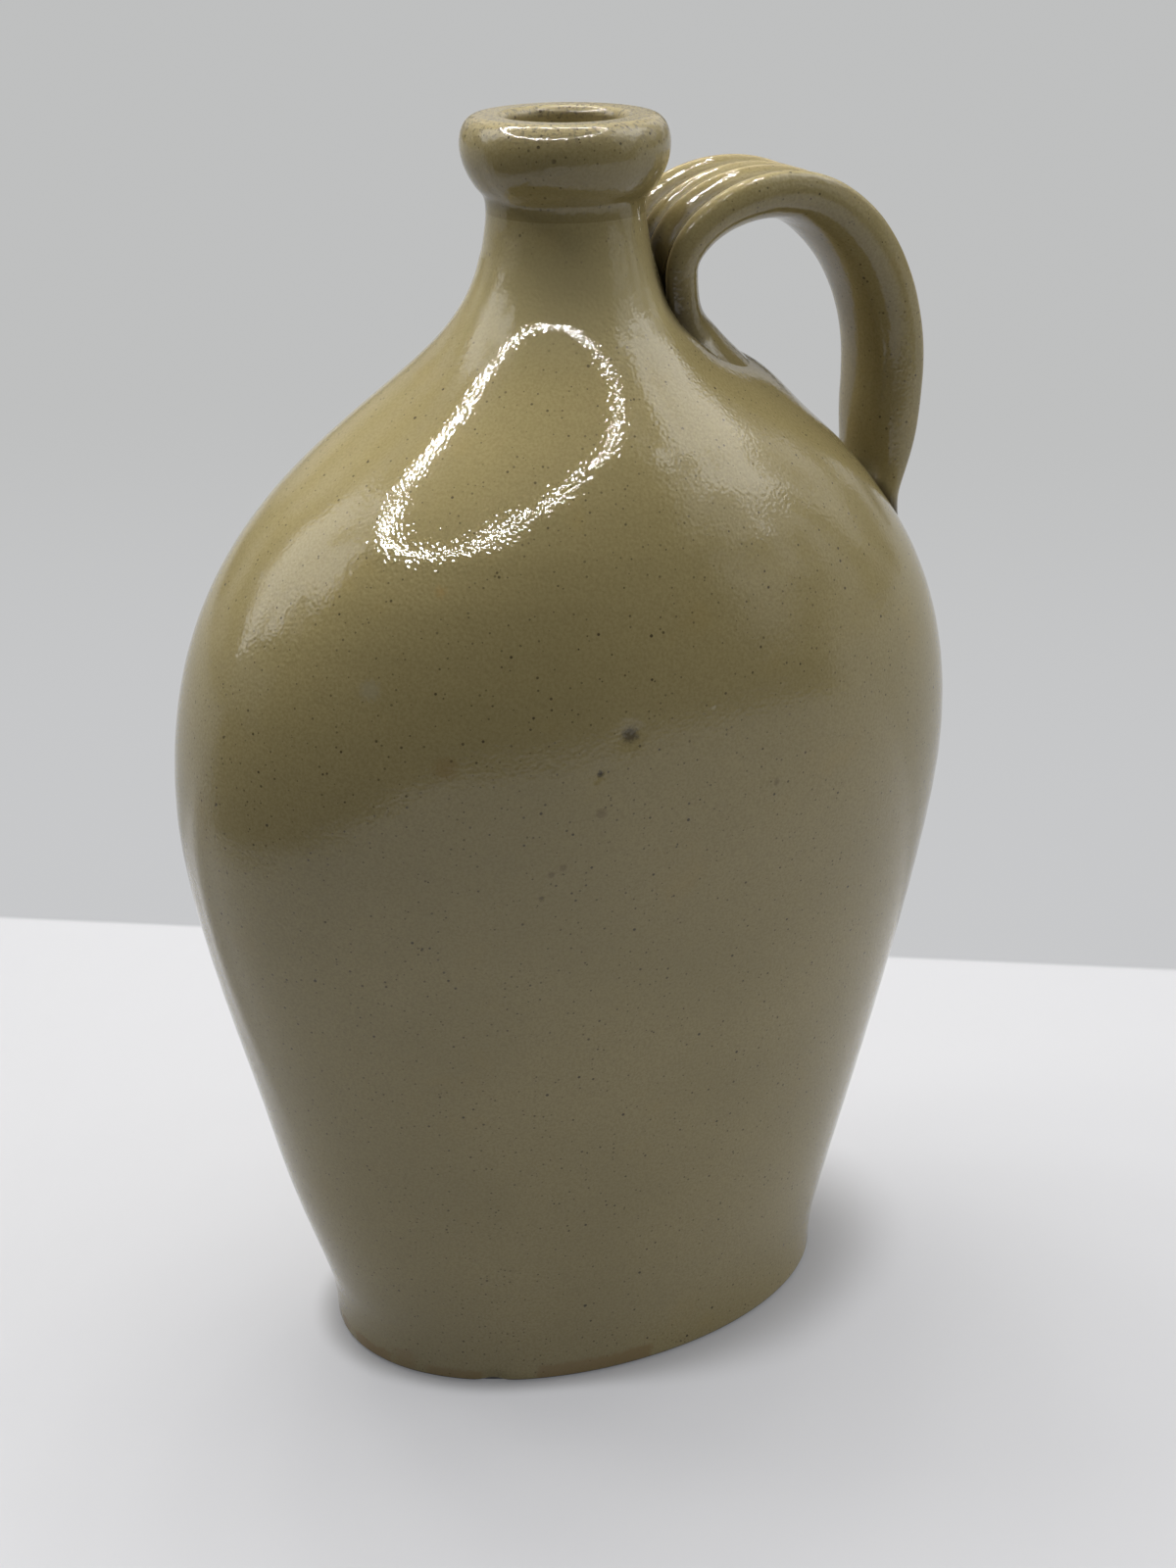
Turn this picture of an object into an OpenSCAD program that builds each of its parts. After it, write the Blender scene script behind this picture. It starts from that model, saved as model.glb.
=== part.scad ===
// Handled stoneware flask: oval foot, flat-sided belly, round neck, rolled lip and reeded strap handle.
// Lengths are in millimetres and +Z is up. The origin is the middle of the underside.
// The wide side of the body lies along X, and the handle stands on the +X side of the neck.

/* [Body] */
// Width of the foot
foot_width = 128.5; // [100:1:160]
// Depth of the foot, front to back
foot_depth = 86; // [70:1:110]
// Width of the body at its widest
belly_width = 186; // [160:1:220]
// Depth of the body at its widest height
belly_depth = 119; // [95:1:145]
// Height of the widest section
belly_height = 144; // [120:1:165]
// Height of the shoulder's top, where the neck stands
body_height = 238; // [220:1:270]
// Thickness of the thrown wall
wall = 6.5; // [4:0.5:8]
// Thickness of the oval base slab
base_thickness = 8; // [5:0.5:14]
// Squareness of the foot's oval, where 2 is an ellipse
foot_squareness = 2.05; // [2:0.05:2.8]
// Squareness of the belly's oval, where 2 is an ellipse
belly_squareness = 2.1; // [2:0.05:2.8]

/* [Body curve] */
// Share of the lower wall that rises upright from the foot
foot_upright = 0.06; // [0.02:0.01:0.3]
// Share of the lower wall that stays near the full width
belly_lower_fullness = 0.27; // [0.1:0.01:0.5]
// Share of the upper wall that stays near the full width
belly_upper_fullness = 0.57; // [0.4:0.01:0.7]
// Outward lean of the flat sides at the belly, in degrees
side_lean = 8; // [0:0.5:14]
// Fullness of the shoulder, side to side
shoulder_width_fullness = 0.57; // [0.4:0.01:0.7]
// Fullness of the shoulder, front to back
shoulder_depth_fullness = 0.36; // [0.1:0.01:0.6]
// Share of the upper wall at which the shoulder turns in
shoulder_rise = 0.76; // [0.65:0.01:0.85]
// Slope of the shoulder where the neck stands, in degrees
root_slope = 31; // [28:1:42]
// Length over which the shoulder keeps that slope
root_run = 14; // [6:1:18]

/* [Neck and lip] */
// Outer radius of the round joint between shoulder and neck
root_radius = 33.5; // [30:0.5:38]
// Length of the neck, from shoulder to lip
neck_length = 34.5; // [28:0.5:50]
// Outer radius of the neck under the lip
neck_radius = 16.5; // [15.5:0.1:20]
// How much the neck widens before its flare
neck_taper = 1.6; // [0.2:0.1:4]
// Height of the nearly straight stretch under the lip
neck_straight = 14.5; // [8:0.5:20]
// Diameter of the bore that takes a cork
bore_diameter = 25; // [18:0.5:27]
// Height above the joint at which the bore opens out inside
throat_height = 14; // [8:0.5:20]
// Length over which the throat runs straight down from the bore
throat_drop = 7; // [3:0.5:10]
// Length over which the throat keeps the shoulder's slope
throat_run = 3.5; // [1:0.5:6]
// Height of the lip, with its band
lip_height = 18; // [14:0.5:26]
// Outer radius of the rolled lip
lip_radius = 22; // [20.5:0.1:27]
// Step between the neck and the lip
lip_step = 0.7; // [0.2:0.1:2]
// Height over which the lip rises upright from the neck
lip_upright = 3.5; // [1:0.1:5]
// Rise from there to the lip's swelling
lip_swell = 2; // [0.5:0.1:4]
// Rounding of the lip's top outer edge
lip_corner = 3; // [1:0.1:5]
// Width of the flat ring on top of the lip
lip_flat = 3.5; // [1:0.1:5]
// Rounding of the mouth's inner edge
mouth_round = 2; // [0.5:0.1:3]

/* [Handle] */
// Distance of the strap's upper end from the neck's axis
strap_root_reach = 62; // [48:0.5:66]
// Rise from the shoulder's top to the point where the strap runs upright beside the neck
strap_neck_rise = 20; // [14:0.5:26]
// Depth to which the strap is pressed against the neck
strap_neck_press = 2; // [0:0.1:3]
// Rise from the shoulder's top to the strap's middle at the top of its arch
strap_top_rise = 35.5; // [30:0.5:46]
// Distance of the arch's top from the neck's axis
strap_top_reach = 44.5; // [38:0.5:52]
// Drop from the shoulder's top to where the strap stands out furthest
strap_out_drop = 9; // [0:0.5:14]
// Furthest distance of the strap's middle from the neck's axis
strap_out_reach = 80.5; // [74:0.5:88]
// Drop from the shoulder's top to the tail's end on the shoulder
strap_tail_drop = 46; // [36:0.5:58]
// Length over which the tail runs down along the shoulder
tail_run = 13; // [6:0.5:18]
// Thickness of the strap
strap_thickness = 8.6; // [6:0.1:11]
// Thickness of the strap beside the neck
strap_neck_thickness = 6.8; // [5:0.1:10]
// Thickness of the strap where it leaves the shoulder
strap_root_thickness = 10; // [6:0.1:12]
// Thickness of the strap's two ends, which are pressed out thin
strap_end_thickness = 2.4; // [1.5:0.1:5]
// Width of the strap at its upper end
strap_root_width = 29; // [22:0.5:36]
// Width of the strap at the top of its arch
strap_top_width = 35; // [26:0.5:42]
// Width of the strap at its tail
strap_tail_width = 25; // [18:0.5:32]
// Width that is left at the round tips of its ends
strap_tip_width = 13; // [8:0.5:18]
// Depth to which the strap's ends sink into the shoulder
strap_sink = 3; // [2:0.1:5]
// Rounding of the strap's two edges
strap_edge = 2.2; // [1:0.1:4]
// Width of the rib along the strap's middle
rib_width = 6; // [3:0.5:10]
// Depth of the two flutes beside the rib
flute_depth = 1.1; // [0.3:0.1:2]
// Swell of the strap's smooth inner face
inner_swell = 0.8; // [0:0.1:2]

/* [Hidden] */

glaze = [0.66, 0.60, 0.43];
bare_clay = [0.58, 0.47, 0.33];

// Facets: columns round the body, and rings along its lower curve, upper curve and hollow inside
columns = 56;
lower_rings = 15;
upper_rings = 20;
inner_rings = 24;
curve_steps = 12;
quarter_rings = 10;
flute_steps = 4;
edge_steps = 4;
face_steps = 4;

// Body columns on each side of +X that the strap can reach
seat_columns = 8;

bore_radius = bore_diameter / 2;
lower_span = belly_height - base_thickness;
upper_span = body_height - belly_height;
neck_top = body_height + neck_length;
flask_top = neck_top + lip_height;
root_inner = root_radius - wall / sin(root_slope);

// Point on a smooth curve through its first and last control points
function bezier(p, t) =
    len(p) == 1 ? p[0] : bezier([for (i = [0 : len(p) - 2]) p[i] + t * (p[i + 1] - p[i])], t);

function curve(p, steps) = [for (i = [0 : steps]) bezier(p, i / steps)];

// Sections of the body are [half width, half depth, height, squareness]
function leaning(rise) = [0, rise * tan(side_lean), rise, 0];

foot = [foot_width / 2, foot_depth / 2, base_thickness, foot_squareness];
belly = [belly_width / 2, belly_depth / 2, belly_height, belly_squareness];
root = [root_radius, root_radius, body_height, 2];
shoulder = [
    root_radius + shoulder_width_fullness * (belly_width / 2 - root_radius),
    root_radius + shoulder_depth_fullness * (belly_depth / 2 - root_radius),
    belly_height + shoulder_rise * upper_span,
    2
];
root_low = root + root_run * [cos(root_slope), cos(root_slope), -sin(root_slope), 0];

lower_curve = [
    foot,
    foot + [0, 0, foot_upright * lower_span, 0],
    belly + leaning(-belly_lower_fullness * lower_span),
    belly
];
upper_curve = [belly, belly + leaning(belly_upper_fullness * upper_span), shoulder, root_low, root];

// Section at s, which runs from 0 at the foot over 1 at the belly to 2 at the neck
function section(s) = s < 1 ? bezier(lower_curve, s) : bezier(upper_curve, s - 1);

// Section of the hollow inside, one wall thickness in from the outer curve
function hollow_section(s, step = 0.02) =
    let (ahead = section(s + step), behind = section(s - step))
    let (run = ahead[0] - behind[0], rise = ahead[2] - behind[2], length = norm([run, rise]))
    section(s) - wall / length * [rise, rise, -run, 0];

function signed_power(v, e) = sign(v) * pow(abs(v), e);

function oval_point(sec, angle) = [
    sec[0] * signed_power(cos(angle), 2 / sec[3]),
    sec[1] * signed_power(sin(angle), 2 / sec[3]),
    sec[2]
];

function oval(sec) = [for (i = [0 : columns - 1]) oval_point(sec, 360 * i / columns)];

outer_sections = concat(
    [for (i = [0 : lower_rings - 1]) section(i / lower_rings)],
    [for (i = [0 : upper_rings]) section(1 + i / upper_rings)]
);

inner_sections = concat(
    [foot - [wall, wall, 0, 0]],
    [for (i = [1 : inner_rings - 1]) hollow_section(2 * i / inner_rings)],
    [[root_inner, root_inner, body_height, 2]]
);

// Place on a curve, from 0 to 1, where one of its coordinates has a value, found by halving the stretch
function place_at(p, index, value, low = 0, high = 1, turns = 24) =
    let (half = (low + high) / 2, falls = p[0][index] > p[len(p) - 1][index])
    let (before = (bezier(p, half)[index] > value) == falls)
    turns == 0 ? half
    : before ? place_at(p, index, value, half, high, turns - 1)
    : place_at(p, index, value, low, half, turns - 1);

// Profile point [x, z] and upward direction of the shoulder at a place on the upper curve
function shoulder_point(place) = let (sec = bezier(upper_curve, place)) [sec[0], sec[2]];

function shoulder_direction(place, step = 0.02) =
    let (d = shoulder_point(place + step) - shoulder_point(place - step)) d / norm(d);

// Point under the shoulder, where an end of the strap is worked into the wall
function sunk_point(place) =
    let (d = shoulder_direction(place)) shoulder_point(place) - strap_sink * [d[1], -d[0]];

// Outer profile of the neck, from the shoulder joint up to the lip
neck_flare = [
    [root_radius, body_height],
    [root_radius - root_run * cos(root_slope), body_height + root_run * sin(root_slope)],
    [neck_radius + neck_taper, neck_top - neck_straight],
    [neck_radius, neck_top]
];

// Strap centre line in the plane of the handle, as smooth quarter turns between its turning points
strap_root_place = place_at(upper_curve, 0, strap_root_reach);
strap_tail_place = place_at(upper_curve, 2, body_height - strap_tail_drop);
strap_neck_place = place_at(neck_flare, 1, body_height + strap_neck_rise);
strap_root = sunk_point(strap_root_place);
strap_tail = sunk_point(strap_tail_place);
strap_side = bezier(neck_flare, strap_neck_place) + [strap_neck_thickness / 2 - strap_neck_press, 0];
strap_top = [strap_top_reach, body_height + strap_top_rise];
strap_out = [strap_out_reach, body_height - strap_out_drop];

// Pull that makes a quarter turn round
quarter = 0.5523;

function turn(from, from_pull, to, to_pull) = [from, from + from_pull, to - to_pull, to];

strap_turns = [
    turn(
        strap_root,
        shoulder_direction(strap_root_place) * quarter * norm(strap_side - strap_root),
        strap_side,
        [0, quarter * (strap_side[1] - strap_root[1])]
    ),
    turn(
        strap_side,
        [0, quarter * (strap_top[1] - strap_side[1])],
        strap_top,
        [quarter * (strap_top[0] - strap_side[0]), 0]
    ),
    turn(
        strap_top,
        [quarter * (strap_out[0] - strap_top[0]), 0],
        strap_out,
        [0, quarter * (strap_out[1] - strap_top[1])]
    ),
    turn(
        strap_out,
        [0, quarter * (strap_tail[1] - strap_out[1])],
        strap_tail,
        -shoulder_direction(strap_tail_place) * tail_run
    )
];

last_turn = len(strap_turns);

function strap_centre(s) =
    let (i = min(floor(s), last_turn - 1)) bezier(strap_turns[i], s - i);

function strap_direction(s, step = 0.01) =
    let (a = max(s - step, 0), b = min(s + step, last_turn))
    let (d = strap_centre(b) - strap_centre(a)) d / norm(d);

function ease(t) = let (c = min(max(t, 0), 1)) c * c * (3 - 2 * c);

function blend(from, to, t) = from + (to - from) * ease(t);

// Stretches of the strap, counted in turns from its upper end
tip_stretch = 0.3;
root_stretch = 0.6;
neck_place = 0.9;
top_place = 1.5;
full_place = 2.5;
leg_place = 3.1;
tail_stretch = 0.8;

// Share of the full width that a round tip leaves, by the distance from the end
function tip(s) = let (t = min(min(s, last_turn - s) / tip_stretch, 1)) sqrt(t * (2 - t));

function strap_full_width(s) =
    s < top_place
    ? blend(strap_root_width, strap_top_width, s / top_place)
    : blend(strap_top_width, strap_tail_width, (s - top_place) / (leg_place - top_place));

function strap_half_width(s) =
    (strap_tip_width + (strap_full_width(s) - strap_tip_width) * tip(s)) / 2;

function strap_depth(s) =
    s < root_stretch ? blend(strap_end_thickness, strap_root_thickness, s / root_stretch)
    : s < neck_place
    ? blend(strap_root_thickness, strap_neck_thickness, (s - root_stretch) / (neck_place - root_stretch))
    : s < full_place
    ? blend(strap_neck_thickness, strap_thickness, (s - neck_place) / (full_place - neck_place))
    : blend(strap_end_thickness, strap_thickness, (last_turn - s) / tail_stretch);

// Cross-section as [across, out] points: crests and flutes outside, a smooth swell inside
function flute(from, to, half_depth, depth) = [
    for (k = [0 : flute_steps - 1])
    let (t = k / flute_steps)
    [from + (to - from) * t, half_depth - depth * 4 * t * (1 - t)]
];

function edge(across, h, start) = [
    for (k = [0 : edge_steps - 1])
    let (a = start - 180 * k / edge_steps)
    [across + strap_edge * cos(a), h * sin(a)]
];

function inner_face(crest, h) = [
    for (k = [0 : face_steps - 1])
    let (t = k / face_steps)
    [crest * (1 - 2 * t), -h - inner_swell * 4 * t * (1 - t)]
];

function strap_section(half_width, depth) =
    let (h = depth / 2, crest = half_width - strap_edge, rib = rib_width / 2)
    let (fluting = flute_depth * depth / strap_thickness)
    concat(
        flute(-crest, -rib, h, fluting),
        flute(-rib, rib, h, fluting / 2),
        flute(rib, crest, h, fluting),
        edge(crest, h, 90),
        inner_face(crest, h),
        edge(-crest, h, 270)
    );

function strap_ring(s) =
    let (c = strap_centre(s), d = strap_direction(s))
    [for (p = strap_section(strap_half_width(s), strap_depth(s)))
        [c[0] - d[1] * p[1], -p[0], c[1] + d[0] * p[1]]];

function middle(ring) = [for (p = ring) 1] * ring / len(ring);

// Solid skinned over a stack of rings that all have the same number of points.
// An open stack is closed with flat ends, fanned out from the middle of the first and last ring.
module skin(rings, closed_loop = false) {
    n = len(rings[0]);
    count = len(rings);
    spans = closed_loop ? count : count - 1;
    last = (count - 1) * n;
    points = concat(
        [for (ring = rings) each ring],
        closed_loop ? [] : [middle(rings[0]), middle(rings[count - 1])]
    );
    sides = [
        for (i = [0 : spans - 1], j = [0 : n - 1])
        let (a = i * n, b = (i + 1) % count * n, k = (j + 1) % n)
        each [[a + j, b + j, b + k], [a + j, b + k, a + k]]
    ];
    ends = [
        for (j = [0 : n - 1])
        let (k = (j + 1) % n)
        each [[count * n, j, k], [count * n + 1, last + k, last + j]]
    ];
    polyhedron(points, closed_loop ? sides : concat(sides, ends));
}

// Solid under the strap: the shoulder with the same facets as the wall, then the neck with facets round it
module strap_seat() {
    neck_sections = [
        for (i = [1 : curve_steps])
        let (p = bezier(neck_flare, i / curve_steps), r = p[0] / cos(180 / columns))
        [r, r, p[1], 2]
    ];
    shoulder_sections = [for (i = [lower_rings : len(outer_sections) - 1]) outer_sections[i]];
    skin([
        for (sec = concat(shoulder_sections, neck_sections))
        concat(
            [[0, 0, sec[2]]],
            [for (j = [-seat_columns : seat_columns]) oval_point(sec, 360 * j / columns)]
        )
    ]);
}

module base_slab() {
    color(bare_clay)
        linear_extrude(base_thickness)
            polygon([for (p = oval(foot)) [p[0], p[1]]]);
}

module body_wall() {
    inner_downward = [for (i = [len(inner_sections) - 1 : -1 : 0]) oval(inner_sections[i])];
    color(glaze)
        skin(concat([for (sec = outer_sections) oval(sec)], inner_downward), true);
}

module neck() {
    throat = body_height + throat_height;
    inner_flare = [
        [bore_radius, throat],
        [bore_radius, throat - throat_drop],
        [root_inner - throat_run * cos(root_slope), body_height + throat_run * sin(root_slope)],
        [root_inner, body_height]
    ];
    color(glaze)
        rotate_extrude()
            polygon(concat(
                curve(neck_flare, curve_steps),
                [[bore_radius, neck_top]],
                curve(inner_flare, curve_steps)
            ));
}

module lip_ring() {
    start_radius = neck_radius + lip_step;
    edge_radius = bore_radius + mouth_round;
    flat_radius = edge_radius + lip_flat;
    corner_radius = flat_radius + lip_corner;
    // Control radius that brings the roll out to the lip's radius halfway along its six control points,
    // which have the weights 1, 5, 10, 10, 5 and 1 there
    roll_pull = (32 * lip_radius - 6 * start_radius - 5 * corner_radius - flat_radius) / 20;
    roll = [
        [start_radius, neck_top],
        [start_radius, neck_top + lip_upright],
        [roll_pull, neck_top + lip_upright + lip_swell],
        [roll_pull, flask_top - lip_corner],
        [corner_radius, flask_top],
        [flat_radius, flask_top]
    ];
    mouth_edge = [
        for (i = [0 : edge_steps])
        let (a = 90 + 90 * i / edge_steps)
        [edge_radius + mouth_round * cos(a), flask_top - mouth_round + mouth_round * sin(a)]
    ];
    color(glaze)
        rotate_extrude()
            polygon(concat(curve(roll, curve_steps), mouth_edge, [[bore_radius, neck_top]]));
}

module handle() {
    rings = last_turn * quarter_rings;
    color(glaze)
        difference() {
            skin([for (i = [0 : rings]) strap_ring(last_turn * i / rings)]);
            strap_seat();
        }
}

base_slab();
body_wall();
neck();
lip_ring();
handle();
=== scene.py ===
import math

import bpy
import numpy as np
from mathutils import Matrix, Vector, kdtree


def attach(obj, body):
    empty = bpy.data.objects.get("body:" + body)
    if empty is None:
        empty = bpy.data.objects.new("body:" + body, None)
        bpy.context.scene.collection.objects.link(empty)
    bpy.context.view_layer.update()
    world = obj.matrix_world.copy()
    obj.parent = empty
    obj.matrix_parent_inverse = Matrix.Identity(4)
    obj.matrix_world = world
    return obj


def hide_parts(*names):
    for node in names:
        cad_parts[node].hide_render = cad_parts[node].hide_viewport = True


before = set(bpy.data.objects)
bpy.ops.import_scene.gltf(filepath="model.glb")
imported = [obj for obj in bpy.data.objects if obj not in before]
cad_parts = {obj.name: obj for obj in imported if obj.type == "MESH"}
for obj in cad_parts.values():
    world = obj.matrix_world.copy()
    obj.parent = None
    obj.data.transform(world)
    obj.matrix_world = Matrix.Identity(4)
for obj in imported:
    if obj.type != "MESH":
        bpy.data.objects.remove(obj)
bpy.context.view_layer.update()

MM = 0.001

# Sizes of the flask in millimetres, as its solids have them.
# A section of the body is half width, half depth, height and squareness.
FOOT = np.array([64.25, 43.0, 8.0, 2.05])
BELLY = np.array([93.0, 59.5, 144.0, 2.1])
ROOT_RADIUS, BODY_HEIGHT, WALL = 33.5, 238.0, 6.5
ROOT = np.array([ROOT_RADIUS, ROOT_RADIUS, BODY_HEIGHT, 2.0])
ROOT_SLOPE, ROOT_RUN = math.radians(31), 14.0
LOWER_SPAN, UPPER_SPAN = BELLY[2] - FOOT[2], BODY_HEIGHT - BELLY[2]
LEAN = math.tan(math.radians(8))
NECK_TOP, LIP_TOP = 272.5, 290.5
NECK_RADIUS, BORE_RADIUS = 16.5, 12.5
LIP_RADIUS, LIP_CORNER_RADIUS, LIP_FLAT_RADIUS, MOUTH_ROUND = 22.0, 21.0, 18.0, 2.0
FOOT_ROUND = 1.4

LOWER_CURVE = [
    FOOT,
    FOOT + [0, 0, 0.06 * LOWER_SPAN, 0],
    BELLY - [0, 0.27 * LOWER_SPAN * LEAN, 0.27 * LOWER_SPAN, 0],
    BELLY,
]
UPPER_CURVE = [
    BELLY,
    BELLY + [0, 0.57 * UPPER_SPAN * LEAN, 0.57 * UPPER_SPAN, 0],
    np.array([
        ROOT_RADIUS + 0.57 * (BELLY[0] - ROOT_RADIUS),
        ROOT_RADIUS + 0.36 * (BELLY[1] - ROOT_RADIUS),
        BELLY[2] + 0.76 * UPPER_SPAN,
        2.0,
    ]),
    ROOT + ROOT_RUN * np.array([math.cos(ROOT_SLOPE), math.cos(ROOT_SLOPE), -math.sin(ROOT_SLOPE), 0]),
    ROOT,
]
NECK_CURVE = [
    np.array([ROOT_RADIUS, BODY_HEIGHT]),
    np.array([ROOT_RADIUS - ROOT_RUN * math.cos(ROOT_SLOPE), BODY_HEIGHT + ROOT_RUN * math.sin(ROOT_SLOPE)]),
    np.array([18.1, NECK_TOP - 14.5]),
    np.array([NECK_RADIUS, NECK_TOP]),
]

COLUMNS = 300
rng = np.random.default_rng(11)


def bezier(points, t):
    """Points of a smooth curve at the values t, one row each."""
    t = np.atleast_1d(np.asarray(t, float))[:, None]
    p = [np.asarray(q, float)[None, :] for q in points]
    while len(p) > 1:
        p = [a + t * (b - a) for a, b in zip(p, p[1:])]
    return p[0] * np.ones_like(t)


def body_section(s):
    """Outer sections from 0 at the foot over 1 at the belly to 2 at the neck."""
    s = np.atleast_1d(np.asarray(s, float))
    low = bezier(LOWER_CURVE, np.minimum(s, 1))
    high = bezier(UPPER_CURVE, np.maximum(s - 1, 0))
    return np.where((s < 1)[:, None], low, high)


def hollow_section(s, step=0.02):
    """Inner sections, one wall thickness in from the outer ones."""
    d = body_section(s + step) - body_section(s - step)
    run, rise = d[:, 0], d[:, 2]
    length = np.hypot(run, rise)
    zero = np.zeros_like(run)
    return body_section(s) - WALL / length[:, None] * np.stack([rise, rise, -run, zero], 1)


# Front and back of the shoulder: heights, and how far the half depth departs from the plain curve there
FRONT_HEIGHTS = np.array([140, 160, 180, 195, 208, 220, 230, 238, 246, 254, 262, 271.0])
FRONT_CHANGE = np.array([0, 0, 0.42, 1.0, 1.6, 1.4, 1.0, 1.25, 0, 0.5, 1.5, 0])


def front_change(z):
    """Smooth curve through the changes of the half depth, level at both ends and zero outside them."""
    x, v = FRONT_HEIGHTS, FRONT_CHANGE
    gaps = np.diff(x)
    system, known = np.eye(len(x)), np.zeros(len(x))
    for k in range(1, len(x) - 1):
        system[k, k - 1:k + 2] = gaps[k], 2 * (gaps[k - 1] + gaps[k]), gaps[k - 1]
        known[k] = 3 * (gaps[k] * (v[k] - v[k - 1]) / gaps[k - 1] + gaps[k - 1] * (v[k + 1] - v[k]) / gaps[k])
    slope = np.linalg.solve(system, known)
    k = np.clip(np.searchsorted(x, z) - 1, 0, len(x) - 2)
    t = np.clip((z - x[k]) / gaps[k], 0, 1)
    return (
        (1 + 2 * t) * (1 - t) ** 2 * v[k] + t * t * (3 - 2 * t) * v[k + 1]
        + gaps[k] * t * (1 - t) * ((1 - t) * slope[k] - t * slope[k + 1])
    )


def with_front(sections):
    """Sections with the front and back of the shoulder as the thrown flask has them."""
    out = sections.copy()
    out[:, 1] += front_change(out[:, 2])
    return out


def round_sections(radius_height):
    """Sections of a round piece from its profile points."""
    r, z = np.asarray(radius_height, float).T
    return np.stack([r, r, z, np.full_like(r, 2.0)], 1)


def even(sections, count):
    """The same profile with its rows spaced evenly along it."""
    d = np.diff(sections[:, :3], axis=0)
    along = np.concatenate([[0], np.cumsum(np.linalg.norm(d, axis=1))])
    at = np.linspace(0, along[-1], count)
    return np.stack([np.interp(at, along, sections[:, k]) for k in range(4)], 1)


def rings(sections):
    """Grid of points, a row for each section and a column for each angle round it."""
    angle = np.arange(COLUMNS) * 2 * math.pi / COLUMNS
    a, b, z, n = [v[:, None] for v in sections.T]
    c, s = np.cos(angle)[None, :], np.sin(angle)[None, :]
    x = a * np.sign(c) * np.abs(c) ** (2 / n)
    y = b * np.sign(s) * np.abs(s) ** (2 / n)
    return np.stack([x, y, z * np.ones_like(x)], -1)


def grid_normals(points):
    """Outward normals of a grid that closes round its columns."""
    along = np.gradient(points, axis=0)
    across = np.roll(points, -1, 1) - np.roll(points, 1, 1)
    n = np.cross(across, along)
    return n / np.maximum(np.linalg.norm(n, axis=-1, keepdims=True), 1e-9)


LATTICE = rng.random((24, 24, 24)) * 2 - 1


def soft_noise(p, size):
    """Smooth noise between -1 and 1 with lumps of about the given size."""
    q = np.asarray(p) / size
    base = np.floor(q).astype(int)
    f = q - base
    f = f * f * (3 - 2 * f)
    total = np.zeros(q.shape[:-1])
    for i in (0, 1):
        for j in (0, 1):
            for k in (0, 1):
                corner = LATTICE[(base[..., 0] + i) % 24, (base[..., 1] + j) % 24, (base[..., 2] + k) % 24]
                weight = np.abs(1 - i - f[..., 0]) * np.abs(1 - j - f[..., 1]) * np.abs(1 - k - f[..., 2])
                total += corner * weight
    return total


def bump_at(p, centre, size):
    """Round soft bump of height 1 around a place."""
    d = (p - np.asarray(centre, float)) / np.asarray(size, float)
    return np.exp(-np.sum(d * d, axis=-1))


# Uneven places of the hand-made wall: middle, spread and height
UNEVEN = [
    ((60, 0, 221), (20, 26, 12), 1.1),
    ((45, 0, 234.5), (13, 20, 11), 3.8),
    ((-72, -5, 45), (16, 30, 24), 1.1),
    ((-12, -60, 172), (46, 20, 30), -0.5),
    ((40, -52, 150), (26, 20, 30), 0.5),
    ((-60, -38, 205), (22, 18, 16), 0.4),
]
# Pits and raised grains in the glaze: middle, spread and height
PITS = [
    ((-13.2, -59.4, 175.9), 2.4, -0.35),
    ((-19.8, -59.4, 168.3), 1.6, -0.3),
    ((21.3, -59.3, 158.8), 1.5, 0.25),
    ((-19.7, -59.5, 159.5), 1.8, 0.22),
    ((-27.6, -57.5, 147.9), 1.5, 0.2),
    ((-30.0, -57.0, 146.4), 1.4, 0.2),
    ((-31.9, -55.9, 140.6), 1.4, -0.2),
    ((-36.3, -35.8, 5.9), 1.8, -0.35),
    ((-38.3, -34.9, 0.6), 2.6, -0.9),
]


def hand_made(p):
    """Height of the hand-made unevenness over the ideal outer surface."""
    x, y, z = np.moveaxis(p, -1, 0)
    turn = np.arctan2(y, x)
    fade_top = np.clip((282 - z) / 30, 0, 1)
    h = 0.26 * soft_noise(p, 62) * np.clip(z / 40, 0, 1) * fade_top
    h += 0.03 * soft_noise(p + 40, 19) * np.clip(z / 20, 0, 1)
    h += 0.02 * np.sin(z * 0.72 + 1.2 * np.sin(turn + z * 0.01)) * (0.6 + 0.4 * soft_noise(p, 45)) * fade_top
    on_neck = np.clip((z - 254) / 8, 0, 1) * np.clip((274 - z) / 4, 0, 1)
    h += 0.06 * np.sin(z * 0.95 + 0.8 * np.sin(2 * turn)) * (0.7 + 0.6 * soft_noise(p, 9)) * on_neck
    h += 0.07 * soft_noise(p, 7) * np.clip((z - 256) / 8, 0, 1)
    for centre, size, height in UNEVEN:
        h += height * bump_at(p, centre, size)
    for centre, size, height in PITS:
        h += height * bump_at(p, centre, (size, size, size))
    ridge_y = -11.5 + 3.0 * np.sin((z - 90) * 0.03)
    h += 0.45 * np.exp(-((y - ridge_y) / 3.2) ** 2) * np.exp(-((z - 122) / 36) ** 2) * (x < -60)
    return h


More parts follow.
